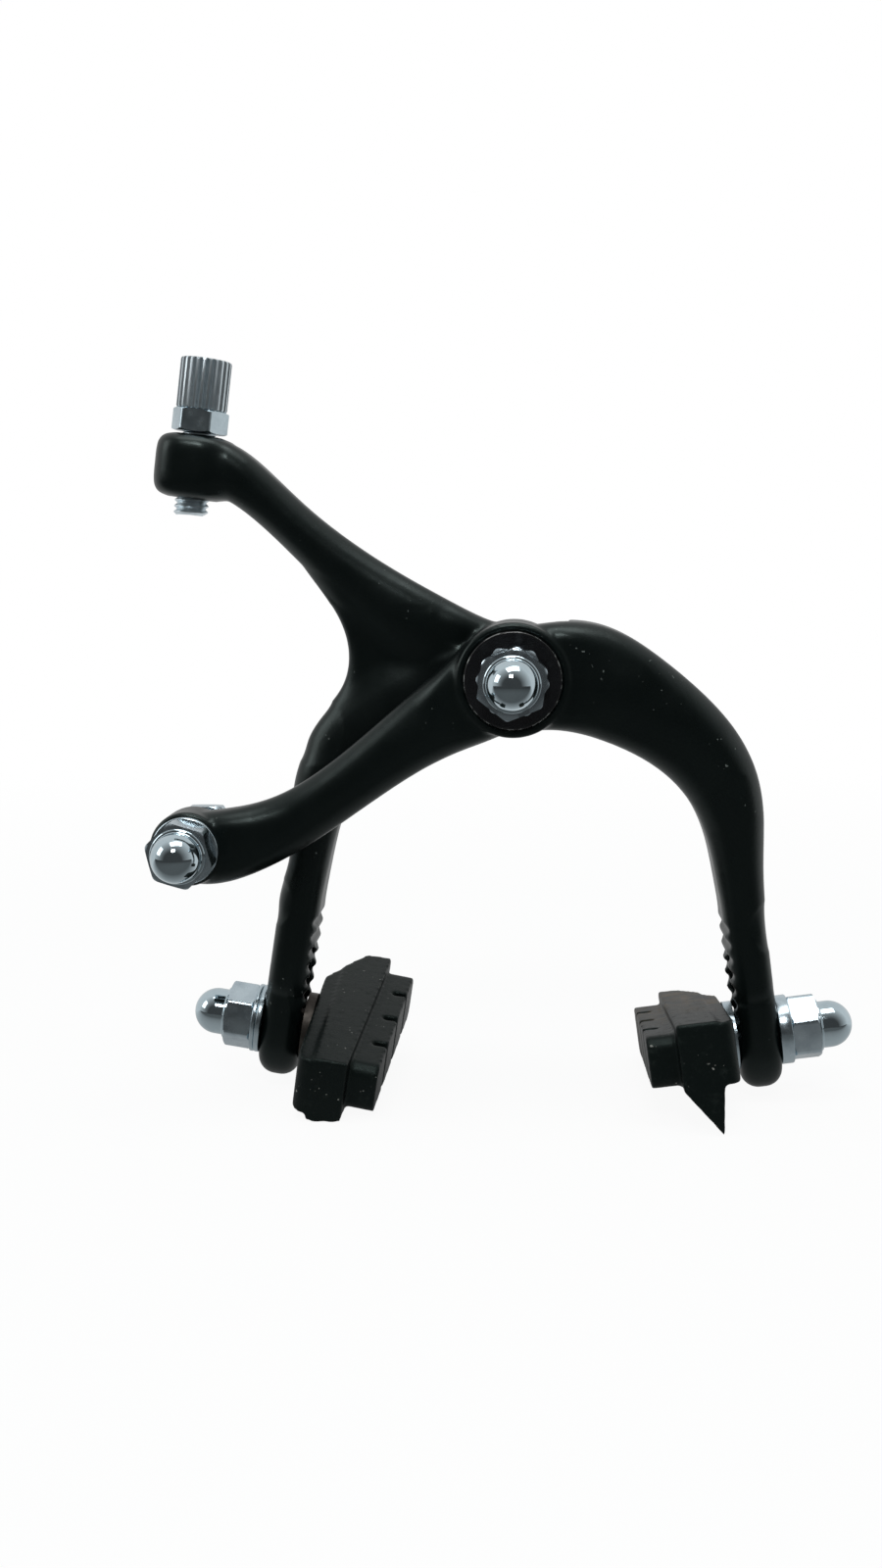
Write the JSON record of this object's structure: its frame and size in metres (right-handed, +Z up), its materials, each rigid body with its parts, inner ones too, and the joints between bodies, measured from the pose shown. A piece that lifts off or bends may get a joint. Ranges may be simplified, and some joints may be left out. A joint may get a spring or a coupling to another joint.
{
  "type": "bicycle brake caliper",
  "caption": "Side pull bicycle brake caliper with two forged arms on one pivot bolt, rubber pads on adjustable posts, cable anchor bolt and barrel adjuster.",
  "frame": {"origin": "on the pivot bolt's axis, in the plane where the brake's spacer meets the fork crown", "axes": "+Y along the pivot bolt, back into the fork; +Z up; +X towards the side of the front arm's pad leg"},
  "size_m": [0.1208, 0.0827, 0.1274],
  "materials": {
    "black_paint": "satin black paint",
    "black_disc": "glossy black with a worn bright edge",
    "zinc_plate": "bright zinc plate",
    "bolt_steel": "zinc plated steel",
    "spring_wire": "spring steel wire",
    "brass": "plain brass washers",
    "rubber": "matt moulded rubber, a little dusty"
  },
  "bodies": {
    "base": {"pivot_bolt": "bolt_steel", "crown_spacer": "black_paint", "lock_washer": "zinc_plate", "spring_boss": "bolt_steel", "rear_washer": "brass", "middle_washer": "brass", "front_disc": "black_disc", "lock_nut": "zinc_plate", "pivot_nut": "zinc_plate", "return_spring": "spring_wire"},
    "front_arm_body": {"front_arm": "black_paint", "anchor_bolt": "zinc_plate", "anchor_washer": "zinc_plate", "anchor_nut": "zinc_plate"},
    "rear_arm_body": {"rear_arm": "black_paint"},
    "adjuster_nut_body": {"adjuster_nut": "zinc_plate"},
    "adjuster_body": {"adjuster_barrel": "zinc_plate"},
    "right_post_nut_body": {"right_outer_washer": "zinc_plate", "right_pad_nut": "zinc_plate"},
    "right_pad_body": {"right_pad": "rubber", "right_pad_post": "zinc_plate", "right_inner_washer": "zinc_plate"},
    "left_post_nut_body": {"left_outer_plate": "zinc_plate", "left_outer_washer": "zinc_plate", "left_pad_nut": "zinc_plate"},
    "left_pad_body": {"left_pad": "rubber", "left_pad_post": "zinc_plate", "left_inner_washer": "zinc_plate"}
  },
  "joints": [
    {"name": "front_arm_pivot", "type": "hinge", "parent": "base", "child": "front_arm_body", "pos_m": [0, 0, 0], "axis": [0, 1, 0], "range_deg": [0, 17], "stiffness_Nm_per_rad": 0.8, "springref_deg": -28.65, "deforming": ["return_spring"]},
    {"name": "rear_arm_pivot", "type": "hinge", "parent": "base", "child": "rear_arm_body", "pos_m": [0, 0, 0], "axis": [0, -1, 0], "range_deg": [0, 17], "stiffness_Nm_per_rad": 0.8, "springref_deg": -28.65, "deforming": ["return_spring"]},
    {"name": "right_pad_reach", "type": "slide", "parent": "front_arm_body", "child": "right_post_nut_body", "axis": [-0.1409, 0, 0.99], "range_m": [0, 0.0108]},
    {"name": "right_pad_turn", "type": "hinge", "parent": "right_post_nut_body", "child": "right_pad_body", "pos_m": [0.0429, -0.0153, -0.063], "axis": [0.99, 0, 0.1409], "range_deg": [-20, 20]},
    {"name": "left_pad_reach", "type": "slide", "parent": "rear_arm_body", "child": "left_post_nut_body", "axis": [0.1547, 0, 0.988], "range_m": [0, 0.0108]},
    {"name": "left_pad_turn", "type": "hinge", "parent": "left_post_nut_body", "child": "left_pad_body", "pos_m": [-0.0406, -0.0153, -0.06255], "axis": [-0.988, 0, 0.1547], "range_deg": [-20, 20]},
    {"name": "adjuster_lift", "type": "slide", "parent": "rear_arm_body", "child": "adjuster_nut_body", "axis": [0.1288, 0, 0.9917], "range_m": [0, 0.006]},
    {"name": "adjuster_spin", "type": "hinge", "parent": "adjuster_nut_body", "child": "adjuster_body", "pos_m": [-0.0535, -0.018, 0.0403], "axis": [0.1288, 0, 0.9917], "range_deg": [0, 2162]}
  ],
  "couplings": [
    {"joint": "adjuster_spin", "follows": "adjuster_lift", "rad_per_m": 6283.2}
  ]
}
